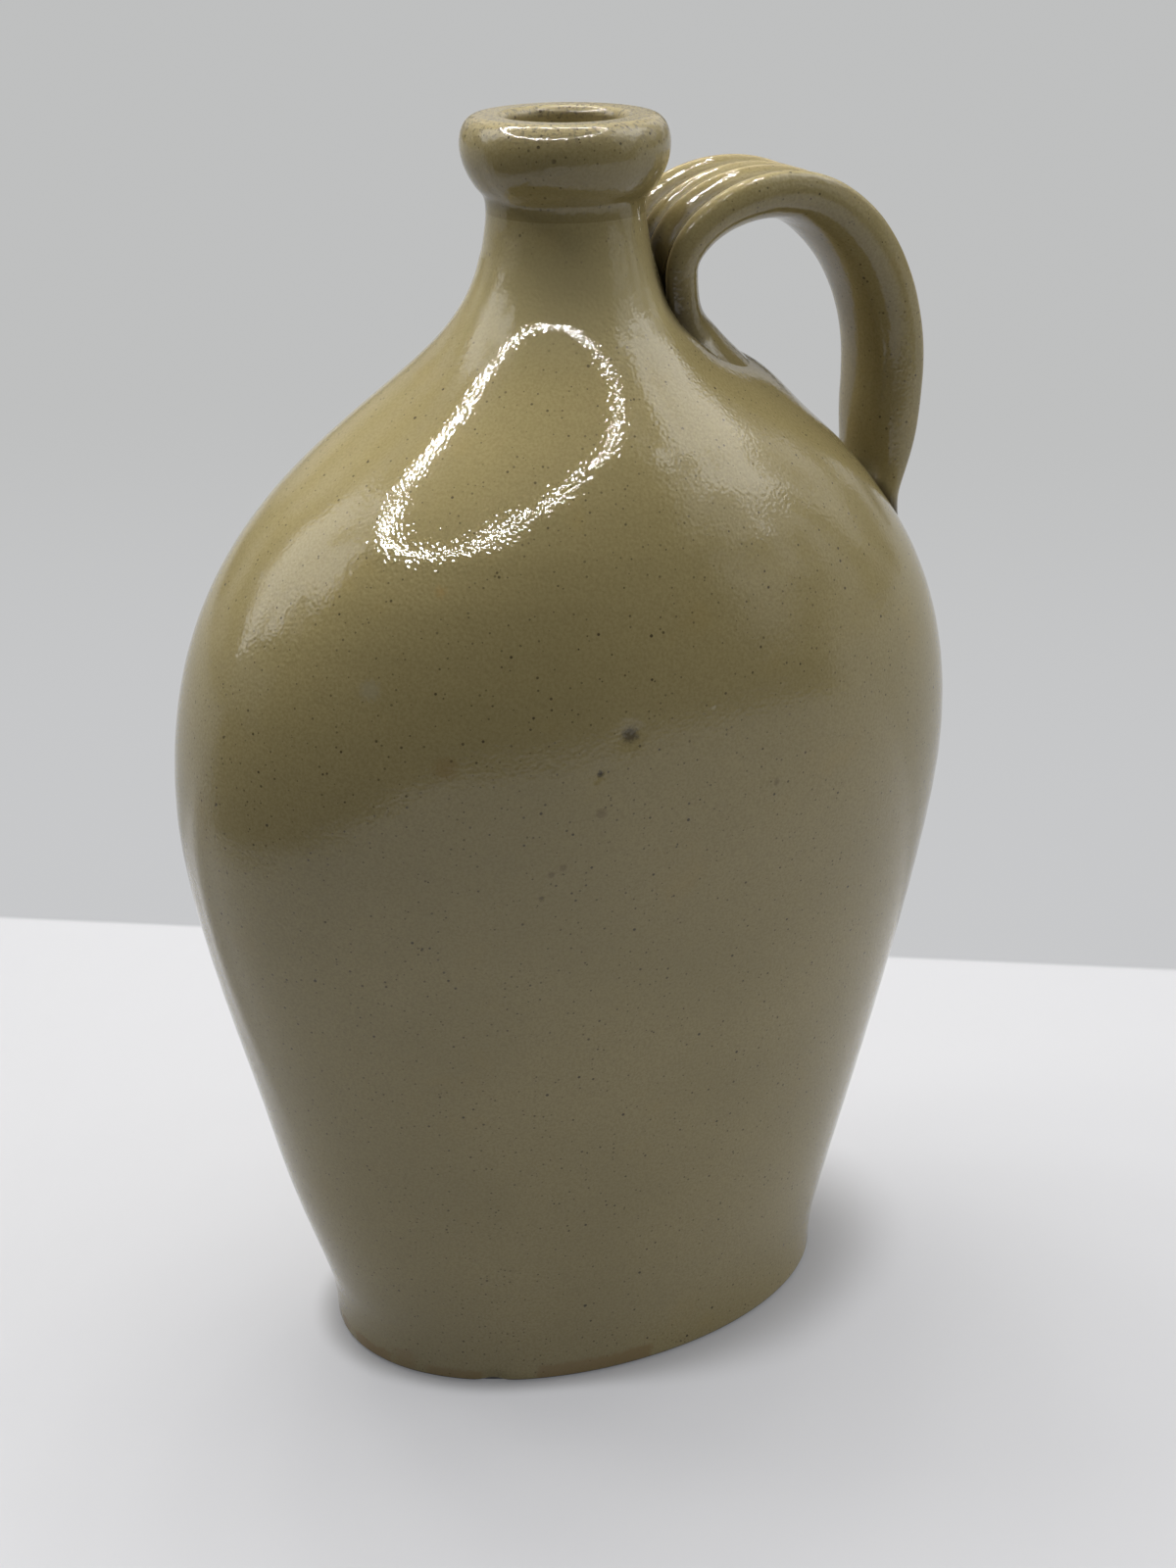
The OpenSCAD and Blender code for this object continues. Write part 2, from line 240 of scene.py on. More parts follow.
def lip_profile():
    """Outer roll, flat ring, round mouth edge and bore of the lip, from the neck upwards."""
    start = NECK_RADIUS + 0.7
    pull = (32 * LIP_RADIUS - 6 * start - 5 * LIP_CORNER_RADIUS - LIP_FLAT_RADIUS) / 20
    roll = bezier([
        np.array([start, NECK_TOP]),
        np.array([start, NECK_TOP + 3.5]),
        np.array([pull, NECK_TOP + 5.5]),
        np.array([pull, LIP_TOP - 3]),
        np.array([LIP_CORNER_RADIUS, LIP_TOP]),
        np.array([LIP_FLAT_RADIUS, LIP_TOP]),
    ], np.linspace(0, 1, 80))
    edge = BORE_RADIUS + MOUTH_ROUND
    turn = np.radians(np.linspace(90, 180, 14))
    mouth = np.stack([edge + MOUTH_ROUND * np.cos(turn), LIP_TOP - MOUTH_ROUND + MOUTH_ROUND * np.sin(turn)], 1)
    bore = np.array([[BORE_RADIUS, LIP_TOP - MOUTH_ROUND - k] for k in (3, 8, 12)] + [[BORE_RADIUS, NECK_TOP]])
    return roll, mouth, bore


def blended_joint(profile):
    """Softens the small step where the lip meets the neck."""
    z = profile[:, 1]
    reach = np.clip((z - NECK_TOP) / 4.0, 0, 1)
    out = profile.copy()
    out[:, 0] -= 0.7 * (1 - reach * reach * (3 - 2 * reach)) * (z < NECK_TOP + 4)
    return out


# One run of sections over the whole wall: underside, foot, body, neck, lip, bore, throat, inside, inner floor
quarter = np.radians(np.linspace(-90, 0, 7))
under = np.stack([
    FOOT[0] * np.linspace(0.06, 1, 26) - FOOT_ROUND,
    FOOT[1] * np.linspace(0.06, 1, 26) - FOOT_ROUND,
    np.zeros(26),
    np.full(26, FOOT[3]),
], 1)
under[:, :2] = np.maximum(under[:, :2], 1.2)
foot_edge = np.stack([
    FOOT[0] - FOOT_ROUND + FOOT_ROUND * np.cos(quarter),
    FOOT[1] - FOOT_ROUND + FOOT_ROUND * np.cos(quarter),
    FOOT_ROUND + FOOT_ROUND * np.sin(quarter),
    np.full(7, FOOT[3]),
], 1)[1:]
foot_side = np.repeat(FOOT[None, :], 5, 0)
foot_side[:, 2] = np.linspace(FOOT_ROUND, FOOT[2], 6)[1:]
body_out = with_front(even(body_section(np.linspace(0, 2, 900)), 236)[1:])
neck_out = with_front(even(round_sections(bezier(NECK_CURVE, np.linspace(0, 1, 300))), 52)[1:])


def soften(sections, row, reach, rounds):
    """Evens out the bend of a profile around one of its rows, less and less towards the ends of the reach."""
    part = sections[row - reach:row + reach + 1]
    weight = 0.5 * np.cos(np.linspace(-0.5, 0.5, len(part))[1:-1, None] * math.pi) ** 2
    for _ in range(rounds):
        part[1:-1] += weight * (part[:-2] + part[2:] - 2 * part[1:-1])


roll, mouth, bore = lip_profile()
lip_out = round_sections(blended_joint(np.concatenate([roll, mouth[1:], bore]))[1:])
outside = np.concatenate([foot_side, body_out, neck_out, lip_out])
joints = np.cumsum([len(foot_side), len(body_out), len(neck_out)])
for row, reach, rounds in zip(joints, (4, 44, 11), (18, 260, 40)):
    soften(outside, row, reach, rounds)
foot_side, body_out, neck_out, lip_out = np.split(outside, joints)
throat_top = BODY_HEIGHT + 14
root_inner = ROOT_RADIUS - WALL / math.sin(ROOT_SLOPE)
neck_in = round_sections(np.concatenate([
    np.array([[BORE_RADIUS, z] for z in np.linspace(NECK_TOP, throat_top, 8)[1:]]),
    bezier([
        np.array([BORE_RADIUS, throat_top]),
        np.array([BORE_RADIUS, throat_top - 7]),
        np.array([root_inner - 3.5 * math.cos(ROOT_SLOPE), BODY_HEIGHT + 3.5 * math.sin(ROOT_SLOPE)]),
        np.array([root_inner, BODY_HEIGHT]),
    ], np.linspace(0, 1, 20))[1:],
]))
body_in = hollow_section(np.linspace(1.97, 0.04, 90))
body_in = np.concatenate([body_in, [FOOT - [WALL, WALL, 0, 0]]])
floor_in = np.stack([
    (FOOT[0] - WALL) * np.linspace(1, 0.06, 18),
    (FOOT[1] - WALL) * np.linspace(1, 0.06, 18),
    np.full(18, FOOT[2]),
    np.full(18, FOOT[3]),
], 1)[1:]

stretches = [
    ("under", under), ("foot", np.concatenate([foot_edge, foot_side])), ("body", body_out), ("neck", neck_out),
    ("lip", lip_out), ("throat", neck_in), ("inside", body_in), ("floor", floor_in),
]
first_row, count = {}, 0
for name, sections in stretches:
    first_row[name] = count
    count += len(sections)
first_row["end"] = count
wall_points = rings(np.concatenate([sections for _, sections in stretches]))
outer_rows = slice(first_row["foot"], first_row["throat"])
ideal = wall_points[outer_rows]
rise = hand_made(ideal)
rise *= np.clip((BORE_RADIUS + 3.5 - np.hypot(ideal[..., 0], ideal[..., 1])) / -3.0, 0, 1)
wall_points[outer_rows] += grid_normals(wall_points)[outer_rows] * rise[..., None]
wall_points[..., 2] = np.maximum(wall_points[..., 2], 0)
wall_normals = grid_normals(wall_points)


def ring_mesh(name, row_runs):
    """Closed mesh over runs of rows of the wall, with flat faces between one run and the next.

    A run that starts or ends at the middle of the wall's two floors is closed there with one face.
    """
    rows = [r for run in row_runs for r in run]
    points = wall_points[rows].reshape(-1, 3) * MM
    normals = wall_normals[rows].reshape(-1, 3)
    starts, total = [], 0
    for run in row_runs:
        starts.append(total)
        total += len(run)
    jump_after = {s - 1 for s in starts[1:]}
    closed = 0 not in rows
    columns = np.arange(COLUMNS)
    right = (columns + 1) % COLUMNS
    faces, flat = [], []
    for i in range(total if closed else total - 1):
        j = (i + 1) % total
        quads = np.stack([i * COLUMNS + columns, i * COLUMNS + right, j * COLUMNS + right, j * COLUMNS + columns], 1)
        faces += quads.tolist()
        flat += [i in jump_after or j == 0] * COLUMNS
    if not closed:
        faces.append(columns[::-1].tolist())
        faces.append(((total - 1) * COLUMNS + columns).tolist())
        flat += [True, True]
    mesh = bpy.data.meshes.new(name)
    mesh.from_pydata(points.tolist(), [], faces)
    mesh.polygons.foreach_set("use_smooth", np.ones(len(faces), bool))
    corner_vertex = np.empty(len(mesh.loops), int)
    mesh.loops.foreach_get("vertex_index", corner_vertex)
    corner_normals = normals[corner_vertex]
    for face, is_flat in zip(mesh.polygons, flat):
        if is_flat:
            corner_normals[face.loop_start:face.loop_start + face.loop_total] = face.normal
    mesh.normals_split_custom_set(corner_normals.tolist())
    piece = bpy.data.objects.new(name, mesh)
    bpy.context.scene.collection.objects.link(piece)
    return piece


def rows_of(start, end):
    """Row numbers from the start of one stretch to the start of another."""
    return list(range(first_row[start], first_row[end]))


foot_top, root_row = first_row["body"] - 1, first_row["neck"] - 1
lip_row, bore_row = first_row["lip"] - 1, first_row["throat"] - 1
root_in_row, floor_row = first_row["inside"] - 1, first_row["floor"] - 1
foot_piece = ring_mesh("foot", [rows_of("under", "body"), [floor_row] + rows_of("floor", "end")])
body_piece = ring_mesh("body", [[foot_top] + rows_of("body", "neck"), [root_in_row] + rows_of("inside", "floor")])
neck_piece = ring_mesh("neck_tube", [[root_row] + rows_of("neck", "lip"), [bore_row] + rows_of("throat", "inside")])
lip_piece = ring_mesh("lip", [[lip_row] + rows_of("lip", "throat")])

# Strap handle: centre line, widths and section as the solid has them, with finer reeds and smeared joints
STRAP_EDGE, RIB_WIDTH, FLUTE_DEPTH, INNER_SWELL = 3.6, 6.0, 1.9, 2.1
STRAP_THICKNESS, NECK_THICKNESS, ROOT_THICKNESS, END_THICKNESS = 8.6, 6.8, 10.0, 2.4
ROOT_WIDTH, TOP_WIDTH, TAIL_WIDTH, TIP_WIDTH, STRAP_SINK = 29.0, 35.0, 25.0, 13.0, 3.0
QUARTER = 0.5523


def shoulder_at(index, value):
    """Place on the upper curve where one coordinate of the profile has a value, with its direction there."""
    t = np.linspace(0, 1, 2001)
    p = bezier(UPPER_CURVE, t)[:, [0, 2]]
    k = int(np.argmin(np.abs(p[:, index] - value)))
    d = p[min(k + 20, 2000)] - p[max(k - 20, 0)]
    return p[k], d / np.linalg.norm(d)


def sunk(point, direction):
    """A place on the shoulder, moved into the wall by the depth that the strap is sunk."""
    return point - STRAP_SINK * np.array([direction[1], -direction[0]])


root_point, root_way = shoulder_at(0, 62.0)
tail_point, tail_way = shoulder_at(1, BODY_HEIGHT - 46)
strap_root, strap_tail = sunk(root_point, root_way), sunk(tail_point, tail_way)
flare = bezier(NECK_CURVE, np.linspace(0, 1, 2001))
strap_side = flare[int(np.argmin(np.abs(flare[:, 1] - (BODY_HEIGHT + 20))))] + [NECK_THICKNESS / 2 - 2, 0]
strap_top, strap_out = np.array([44.5, BODY_HEIGHT + 35.5]), np.array([80.5, BODY_HEIGHT - 9])
STRAP_TURNS = [
    (strap_root, root_way * QUARTER * np.linalg.norm(strap_side - strap_root),
     strap_side, np.array([0, QUARTER * (strap_side[1] - strap_root[1])])),
    (strap_side, np.array([0, QUARTER * (strap_top[1] - strap_side[1])]),
     strap_top, np.array([QUARTER * (strap_top[0] - strap_side[0]), 0])),
    (strap_top, np.array([QUARTER * (strap_out[0] - strap_top[0]), 0]),
     strap_out, np.array([0, QUARTER * (strap_out[1] - strap_top[1])])),
    (strap_out, np.array([0, QUARTER * (strap_tail[1] - strap_out[1])]),
     strap_tail, -tail_way * 13),
]
LAST_TURN = len(STRAP_TURNS)


def ease(t):
    """Smooth step from 0 to 1."""
    c = np.clip(t, 0, 1)
    return c * c * (3 - 2 * c)


def strap_line(count):
    """Places along the strap, evenly spaced, with centre points and directions in the plane of the handle."""
    t = np.linspace(0, 1, 200)
    runs = [bezier([a, a + pull, b - push, b], t) for a, pull, b, push in STRAP_TURNS]
    s = np.concatenate([t[:-1] + k for k in range(LAST_TURN)] + [[LAST_TURN]])
    p = np.concatenate([r[:-1] for r in runs] + [runs[-1][-1:]])
    along = np.concatenate([[0], np.cumsum(np.linalg.norm(np.diff(p, axis=0), axis=1))])
    at = np.linspace(0, along[-1], count)
    s = np.interp(at, along, s)
    p = np.stack([np.interp(at, along, p[:, k]) for k in (0, 1)], 1)
    d = np.gradient(p, axis=0)
    return s, p, d / np.linalg.norm(d, axis=1, keepdims=True)


def strap_width(s):
    """Width of the strap at places along it, narrow at both ends."""
    full = np.where(
        s < 1.5,
        ROOT_WIDTH + (TOP_WIDTH - ROOT_WIDTH) * ease(s / 1.5),
        TOP_WIDTH + (TAIL_WIDTH - TOP_WIDTH) * ease((s - 1.5) / 1.6),
    )
    t = np.clip(np.minimum(s, LAST_TURN - s) / 0.3, 0, 1)
    return TIP_WIDTH + (full - TIP_WIDTH) * np.sqrt(t * (2 - t))


def strap_depth(s):
    """Thickness of the strap at places along it, thin at both ends."""
    return np.select(
        [s < 0.6, s < 0.9, s < 2.5],
        [
            END_THICKNESS + (ROOT_THICKNESS - END_THICKNESS) * ease(s / 0.6),
            ROOT_THICKNESS + (NECK_THICKNESS - ROOT_THICKNESS) * ease((s - 0.6) / 0.3),
            NECK_THICKNESS + (STRAP_THICKNESS - NECK_THICKNESS) * ease((s - 0.9) / 1.6),
        ],
        END_THICKNESS + (STRAP_THICKNESS - END_THICKNESS) * ease((LAST_TURN - s) / 0.8),
    )


FACE_STEPS, EDGE_STEPS, BACK_STEPS = 72, 14, 26


def strap_section(half_width, depth):
    """Section points as across and out, with the height of the crests at each."""
    h, crest, rib = depth / 2, half_width - STRAP_EDGE, RIB_WIDTH / 2
    fluting = FLUTE_DEPTH * depth / STRAP_THICKNESS
    y = np.linspace(-crest, crest, FACE_STEPS + 1)
    a = np.abs(y)
    inner = fluting * 0.55 * (1 - (a / rib) ** 2)
    t = (a - rib) / max(crest - rib, 1e-6)
    outer = fluting * 4 * t * (1 - t)
    dip = np.where(a < rib, inner, outer)
    kernel = np.array([0.2, 0.6, 0.2])
    dip = np.convolve(np.pad(dip, 1, mode="edge"), kernel, mode="valid")
    face = np.stack([y, h - dip], 1)
    turn = np.radians(np.linspace(90, -90, EDGE_STEPS + 1))[1:-1]
    edge = np.stack([crest + STRAP_EDGE * np.cos(turn), h * np.sin(turn)], 1)
    back_y = np.linspace(crest, -crest, BACK_STEPS + 1)
    back = np.stack([back_y, -h - INNER_SWELL * (1 - (back_y / crest) ** 2)], 1)
    other = np.stack([-edge[::-1, 0], edge[::-1, 1]], 1)
    near_crest = np.minimum(np.abs(a - rib), np.abs(a - crest))
    height = np.exp(-(near_crest / 0.55) ** 2)
    groove = dip / max(FLUTE_DEPTH, 1e-6)
    rest = len(edge) + len(back) + len(other)
    return (
        np.concatenate([face, edge, back, other]),
        np.concatenate([height, np.zeros(rest)]),
        np.concatenate([groove, np.zeros(rest)]),
    )


# Outer half widths and depths by height, to measure how far a point lies from the wall
profile = with_front(np.concatenate([body_section(np.linspace(0, 2, 1200)), round_sections(flare)]))


def wall_distance(p):
    """Signed distance from the outer wall of body and neck, and the wall's normal, both near the wall."""
    z = np.clip(p[..., 2], profile[0, 2], profile[-1, 2])
    step = 0.2

    def level(q):
        at = np.clip(q[..., 2], profile[0, 2], profile[-1, 2])
        a, b, n = [np.interp(at, profile[:, 2], profile[:, k]) for k in (0, 1, 3)]
        radius = (np.abs(q[..., 0] / a) ** n + np.abs(q[..., 1] / b) ** n) ** (1 / n)
        return (radius - 1) * np.minimum(a, b)

    value = level(p)
    slope = np.stack([(level(p + step * e) - level(p - step * e)) / (2 * step) for e in np.eye(3)], -1)
    size = np.maximum(np.linalg.norm(slope, axis=-1), 1e-6)
    return value / size, slope / size[..., None], z


STRAP_RINGS = 420
FILLET, ROOT_FILLET, NECK_FILLET, NECK_FILLET_HEIGHT = 4.2, 3.0, 1.2, 240
LOOP_ROUNDS, ROOT_ROUNDS = 40, 50
s_at, centre, way = strap_line(STRAP_RINGS)
half_widths, depths = strap_width(s_at) / 2, strap_depth(s_at)
strap_points, crest_height, groove_depth = [], [], []
for s, c, d, w, depth in zip(s_at, centre, way, half_widths, depths):
    section, height, groove = strap_section(w, depth)
    across, out = section.T
    strap_points.append(np.stack([c[0] - d[1] * out, -across, c[1] + d[0] * out], 1))
    crest_height.append(height)
    groove_depth.append(groove)
strap_points = np.array(strap_points)
crest_height, groove_depth = np.array(crest_height), np.array(groove_depth)
strap_normals = -grid_normals(strap_points)
if np.mean(np.sum(strap_normals[200] * (strap_points[200] - strap_points[200].mean(0)), -1)) < 0:
    strap_normals = -strap_normals
gap, wall_way, height_at = wall_distance(strap_points)
# Clay smeared into the shoulder: the sides spread out towards the wall
at_shoulder = FILLET + ROOT_FILLET * (1 - ease((s_at - 0.6) / 0.4))[:, None]
fillet = np.where(height_at < NECK_FILLET_HEIGHT, at_shoulder, NECK_FILLET)
near = np.clip(gap, 0, None)
spread = np.where(near < fillet, fillet - np.sqrt(np.maximum(fillet ** 2 - (fillet - near) ** 2, 0)), 0)
sideways = strap_normals - np.sum(strap_normals * wall_way, -1, keepdims=True) * wall_way
strap_points += sideways * spread[..., None]
# The strap's loop side is round
around = strap_points.shape[1]
columns = np.arange(around)
from_face = np.minimum(np.clip(columns - FACE_STEPS, 0, None), around - columns)
loop_side = 0.5 * np.clip((from_face - 2) / 5, 0, 1)[None, :, None]
for _ in range(LOOP_ROUNDS):
    beside = (np.roll(strap_points, 1, 1) + np.roll(strap_points, -1, 1)) / 2
    strap_points += loop_side * (beside - strap_points)
# The loop side is fuller over the arch and at the root
fuller = 1.5 * ease((s_at - 0.3) / 1.1) * ease((3.6 - s_at) / 0.5)
fuller += 0.8 * ease((s_at - 2.1) / 0.4) * ease((3.5 - s_at) / 0.5)
fuller += 1.2 * ease((s_at - 0.1) / 0.3) * ease((1.2 - s_at) / 0.6)
strap_points += strap_normals * (fuller[:, None] * ease((from_face - 3) / 14))[..., None]
# The root is smoothed into the shoulder
root_side = 0.5 * (1 - ease((s_at - 0.35) / 0.6))[1:-1, None, None]
for _ in range(ROOT_ROUNDS):
    beside = (np.roll(strap_points, 1, 1) + np.roll(strap_points, -1, 1))[1:-1]
    beside = (beside + strap_points[:-2] + strap_points[2:]) / 4
    strap_points[1:-1] += root_side * (beside - strap_points[1:-1])
uneven = 0.12 * soft_noise(strap_points, 14) + 0.05 * soft_noise(strap_points, 5)
strap_points += strap_normals * uneven[..., None]
gap, wall_way, height_at = wall_distance(strap_points)
right = (columns + 1) % around
strap_faces = []
for i in range(STRAP_RINGS - 1):
    strap_faces += np.stack(
        [i * around + columns, i * around + right, (i + 1) * around + right, (i + 1) * around + columns], 1
    ).tolist()
strap_faces.append(columns[::-1].tolist())
strap_faces.append(((STRAP_RINGS - 1) * around + columns).tolist())
strap_mesh = bpy.data.meshes.new("handle_strap")
strap_mesh.from_pydata((strap_points.reshape(-1, 3) * MM).tolist(), [], strap_faces)
strap_mesh.polygons.foreach_set("use_smooth", np.ones(len(strap_faces), bool))
handle_piece = bpy.data.objects.new("handle_strap", strap_mesh)
bpy.context.scene.collection.objects.link(handle_piece)


def set_attribute(piece, name, values):
    """Stores one number for each point of a piece, for its material to read."""
    data = piece.data.attributes.new(name, "FLOAT", "POINT")
    data.data.foreach_set("value", np.asarray(values, np.float32).ravel())


def joint_pool_and_shade(x, z):
    """How dark the pooled glaze and painted shade in the joint beside the strap are: most at the neck and the tail,
    least at the root.
    """
    return np.clip(0.15 + ease((z - 236) / 10) + ease((x - 66) / 8) * (1 - 0.45 * ease((x - 76) / 6)), 0, 1)


# Pooled glaze and painted shade in the joints: each point's darkness from its distance to the strap or to the wall
NECK_ROOT_HEIGHT, NECK_ROOT_RUN = 243, 8
strap_places = strap_points[::3, ::2].reshape(-1, 3)
tree = kdtree.KDTree(len(strap_places))
for i, p in enumerate(strap_places):
    tree.insert(Vector(p), i)
tree.balance()
for piece in (body_piece, neck_piece, lip_piece, foot_piece):
    p = np.empty(len(piece.data.vertices) * 3, np.float32)
    piece.data.vertices.foreach_get("co", p)
    p = p.reshape(-1, 3) / MM
    pool_and_shade = np.zeros(len(p))
    for i in np.where((p[:, 2] > 180) & (p[:, 0] > 8))[0]:
        reach = 1.8 + 1.0 * float(ease((p[i, 2] - NECK_ROOT_HEIGHT) / NECK_ROOT_RUN))
        pool_and_shade[i] = math.exp(-(tree.find(Vector(p[i]))[2] / reach) ** 2) * float(joint_pool_and_shade(p[i, 0], p[i, 2]))
    set_attribute(piece, "pool_and_shade", pool_and_shade)
    set_attribute(piece, "thin", np.zeros(len(p)))
reach = 2.2 + 3.4 * ease((strap_points[..., 2] - NECK_ROOT_HEIGHT) / NECK_ROOT_RUN)
# painted shade with pooled glaze along the joint, darkest where the strap meets the wall
deep = joint_pool_and_shade(strap_points[..., 0], strap_points[..., 2]) * np.exp(-(np.abs(gap) / reach) ** 2)
# painted shade on the strap's inner face, from the arch top down to the tail
inner_face_shade = 0.4 * ease((from_face - 6) / 12) * ease((s_at - 1.5) / 0.6)[:, None]
# darkness in the flutes: pooled glaze, with more painted shade over the arch near the neck
groove_pool_and_shade = 0.6 + 0.35 * ease((s_at - 0.9) / 0.3) * ease((2.0 - s_at) / 0.5)
set_attribute(handle_piece, "pool_and_shade", np.maximum(np.maximum(deep, inner_face_shade), groove_pool_and_shade[:, None] * groove_depth))
# crests lighter where the glaze is thin, with a painted highlight along them
set_attribute(handle_piece, "thin", crest_height * np.clip(depths / 6, 0, 1)[:, None])


class Tree:
    """Small helper that adds nodes to a material and joins them."""

    def __init__(self, owner):
        owner.use_nodes = True
        self.nodes, self.links = owner.node_tree.nodes, owner.node_tree.links
        self.nodes.clear()

    def add(self, kind, inputs=(), **settings):
        node = self.nodes.new(kind)
        for key, value in settings.items():
            setattr(node, key, value)
        for key, value in dict(inputs).items():
            if isinstance(value, bpy.types.NodeSocket):
                self.links.new(value, node.inputs[key])
            else:
                node.inputs[key].default_value = value
        return node

    def math(self, operation, a, b=0.0, c=0.0):
        return self.add("ShaderNodeMath", {0: a, 1: b, 2: c}, operation=operation).outputs[0]

    def range(self, value, low, high, to_low=0.0, to_high=1.0):
        inputs = {"Value": value, "From Min": low, "From Max": high, "To Min": to_low, "To Max": to_high}
        return self.add("ShaderNodeMapRange", inputs, interpolation_type="SMOOTHSTEP").outputs[0]

    def mix(self, factor, a, b):
        node = self.add("ShaderNodeMix", {}, data_type="RGBA")
        for socket, value in ((node.inputs[0], factor), (node.inputs[6], a), (node.inputs[7], b)):
            if isinstance(value, bpy.types.NodeSocket):
                self.links.new(value, socket)
            else:
                socket.default_value = value
        return node.outputs[2]

    def noise(self, place, scale, detail=2.0, roughness=0.5):
        inputs = {"Vector": place, "Scale": scale, "Detail": detail, "Roughness": roughness}
        return self.add("ShaderNodeTexNoise", inputs).outputs[0]


# Marks in the glaze: place, size, colour and strength
MARKS = [
    ((-13.2, -59.4, 175.9), 2.6, (0.085, 0.068, 0.045), 0.75),
    ((-19.8, -59.4, 168.3), 1.1, (0.04, 0.028, 0.016), 0.9),
    ((42.3, -38.1, 213.4), 0.7, (0.04, 0.03, 0.02), 0.9),
    ((-3.6, -58.8, 183.2), 0.6, (0.03, 0.025, 0.02), 0.9),
    ((2.9, -56.9, 192.0), 0.9, (0.78, 0.74, 0.63), 0.9),
    ((8.7, -56.5, 192.6), 0.6, (0.78, 0.74, 0.63), 0.8),
    ((5.8, -59.5, 178.6), 0.8, (0.55, 0.50, 0.36), 0.5),
    ((-19.7, -59.5, 159.5), 1.7, (0.17, 0.12, 0.05), 0.5),
    ((-27.6, -57.5, 147.9), 1.2, (0.17, 0.12, 0.05), 0.5),
    ((-30.0, -57.0, 146.4), 1.1, (0.15, 0.10, 0.045), 0.5),
    ((-31.9, -55.9, 140.6), 1.0, (0.10, 0.07, 0.03), 0.6),
    ((21.3, -59.3, 158.8), 1.2, (0.15, 0.11, 0.05), 0.5),
    ((-46.2, -41.1, 205.7), 2.2, (0.42, 0.25, 0.07), 0.45),
    ((-50.3, -51.0, 171.9), 3.6, (0.30, 0.19, 0.06), 0.35),
    ((-61.9, -40.6, 187.2), 3.2, (0.38, 0.35, 0.25), 0.4),
    ((-17.2, -42.9, 21.8), 0.6, (0.05, 0.04, 0.025), 0.9),
    ((-76.6, -10.1, 63.4), 0.9, (0.05, 0.04, 0.03), 0.8),
]
NECK_MARKS = [
    ((-1.8, -17.2, 266.5), 0.4, (0.04, 0.03, 0.02), 0.9),
    ((-0.7, -19.1, 258.0), 0.4, (0.05, 0.04, 0.025), 0.8),
]
LIP_MARKS = [
    ((-18.8, -11.1, 282.9), 0.4, (0.06, 0.045, 0.025), 0.8),
    ((-10.9, -19.2, 284.0), 0.7, (0.10, 0.075, 0.04), 0.6),
]
# Bare brown stains along the front of the foot: from, to, top and strength
STAINS = [(-58.0, -54.0, 6.4, 0.45), (-52.0, -40.5, 3.4, 0.65), (-28.0, 0.5, 4.6, 0.7)]
# Colours of the glaze
GLAZE_DARK, GLAZE_LIGHT = (0.372, 0.308, 0.142), (0.418, 0.345, 0.162)
GRAIN, OCHRE, SPECK = (0.27, 0.215, 0.09, 1), (0.42, 0.315, 0.115, 1), (0.075, 0.055, 0.032, 1)
POOLED_AND_SHADE, THIN_AND_HIGHLIGHT = (0.05, 0.036, 0.016, 1), (0.58, 0.47, 0.28, 1)
NECK_PAINTED_LIGHT, LIP_PAINTED_SHADE, RIM_PALE, RIM_DOTS = (
    (0.52, 0.44, 0.225, 1), (0.24, 0.19, 0.07, 1), (0.47, 0.41, 0.28, 1), (0.11, 0.10, 0.085, 1)
)
STAIN, BASE_PAINTED_SHADOW, CLAY_DARK, CLAY_LIGHT = (
    (0.30, 0.20, 0.075, 1), (0.035, 0.028, 0.02, 1), (0.30, 0.225, 0.13, 1), (0.37, 0.29, 0.18, 1)
)
BUMP_HEIGHT, RIM_ROUGHNESS, CLAY_ROUGHNESS = 0.000048, 0.085, 0.8


